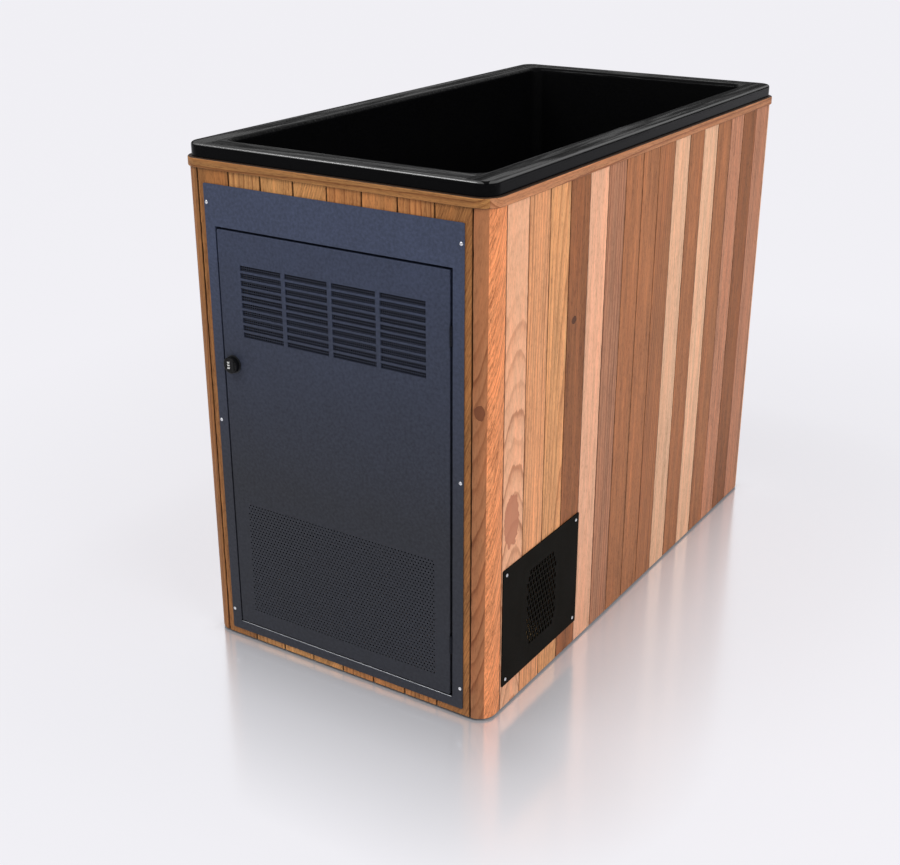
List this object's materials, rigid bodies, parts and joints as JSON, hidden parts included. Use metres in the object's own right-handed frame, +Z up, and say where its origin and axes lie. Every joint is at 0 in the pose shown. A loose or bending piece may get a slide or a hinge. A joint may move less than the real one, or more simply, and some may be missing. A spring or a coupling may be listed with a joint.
{
  "type": "cold plunge tub",
  "caption": "Cedar-clad cold plunge tub: moulded basin with seat and footwell, mitred cap trim, louvred steel service door with combination lock, side vent plate, pump and filter inside.",
  "frame": {"origin": "on the floor, under the middle of the outside", "axes": "+X right as seen from the door side, +Y from the door to the rear, +Z up"},
  "size_m": [0.688, 1.323, 1.046],
  "materials": {
    "cedar": "satin sealed boards",
    "oak": "satin oiled",
    "timber": "sawn and planed",
    "ply": "sheathing plywood",
    "moulded_black": "satin moulded",
    "black_plastic": "matt moulded",
    "slate_steel": "fine powder coat",
    "black_steel": "fine powder coat",
    "bright_steel": "brushed",
    "foam": "closed-cell foam",
    "pipe_white": "extruded pipe",
    "pump_grey": "cast and painted",
    "filter_blue": "moulded",
    "cartridge_white": "pleated paper",
    "lever_red": "dipped",
    "box_grey": "moulded"
  },
  "bodies": {
    "cabinet": {"base_bearer_left": "timber", "base_bearer_right": "timber", "post_front_left": "timber", "post_front_right": "timber", "post_rear_left": "timber", "post_rear_right": "timber", "top_rail_left": "timber", "top_rail_right": "timber", "top_rail_front": "timber", "top_rail_rear": "timber", "seat_ledger_left": "timber", "seat_ledger_right": "timber", "base_deck": "ply", "cladding_front": "cedar", "cladding_rear": "cedar", "cladding_left": "cedar", "cladding_right": "cedar", "trim_front": "oak", "trim_rear": "oak", "trim_left": "oak", "trim_right": "oak", "basin": "moulded_black", "floor_insulation": "foam", "suction_fitting": "black_plastic", "return_fitting": "black_plastic", "drain_fitting": "black_plastic", "pump_housing": "black_plastic", "filter_head": "black_plastic", "feed_port": "black_plastic", "return_port": "black_plastic", "mains_gland": "black_plastic", "service_panel": "slate_steel", "side_vent_plate": "black_steel", "hinge_upper_frame_leaf": "bright_steel", "hinge_upper_pin": "bright_steel", "hinge_lower_frame_leaf": "bright_steel", "hinge_lower_pin": "bright_steel", "filter_bracket": "bright_steel", "drain_valve": "bright_steel", "pump_motor": "pump_grey", "suction_pipe": "pipe_white", "pump_outlet_pipe": "pipe_white", "return_pipe": "pipe_white", "control_box": "box_grey", "control_lid": "box_grey"},
    "door": {"service_door": "slate_steel", "louvre_screen": "black_steel", "hinge_upper_door_leaf": "bright_steel", "hinge_lower_door_leaf": "bright_steel", "lock_body": "black_plastic", "lock_nut": "bright_steel"},
    "lock_turner": {"lock_knob": "black_plastic", "lock_cam": "bright_steel"},
    "dial_upper": {"lock_dial_upper": "black_plastic"},
    "dial_middle": {"lock_dial_middle": "black_plastic"},
    "dial_lower": {"lock_dial_lower": "black_plastic"},
    "rotor": {"pump_rotor": "bright_steel"},
    "bowl": {"filter_bowl": "filter_blue", "filter_cartridge": "cartridge_white"},
    "drain_handle": {"drain_lever": "lever_red"}
  },
  "joints": [
    {"name": "door_hinge", "type": "hinge", "parent": "cabinet", "child": "door", "pos_m": [0.263, -0.64885, 0.464], "axis": [0, 0, 1], "range_deg": [0, 120]},
    {"name": "lock_turn", "type": "hinge", "parent": "door", "child": "lock_turner", "pos_m": [-0.241, -0.64885, 0.624], "axis": [0, 1, 0], "range_deg": [0, 90]},
    {"name": "pump_spin", "type": "hinge", "parent": "cabinet", "child": "rotor", "pos_m": [0.1, -0.42455, 0.1306], "axis": [1, 0, 0], "continuous": true},
    {"name": "filter_bowl_turn", "type": "hinge", "parent": "cabinet", "child": "bowl", "pos_m": [-0.1697, -0.42455, 0.3], "axis": [0, 0, 1], "range_deg": [0, 360]},
    {"name": "drain_lever_turn", "type": "hinge", "parent": "cabinet", "child": "drain_handle", "pos_m": [0.125, -0.27685, 0.2333], "axis": [0, 0, 1], "range_deg": [0, 90]},
    {"name": "dial_upper_turn", "type": "hinge", "parent": "lock_turner", "child": "dial_upper", "pos_m": [-0.2455, -0.65745, 0.6296], "axis": [0, 0, 1], "continuous": true},
    {"name": "dial_middle_turn", "type": "hinge", "parent": "lock_turner", "child": "dial_middle", "pos_m": [-0.2455, -0.65745, 0.624], "axis": [0, 0, 1], "continuous": true},
    {"name": "dial_lower_turn", "type": "hinge", "parent": "lock_turner", "child": "dial_lower", "pos_m": [-0.2455, -0.65745, 0.6184], "axis": [0, 0, 1], "continuous": true}
  ]
}
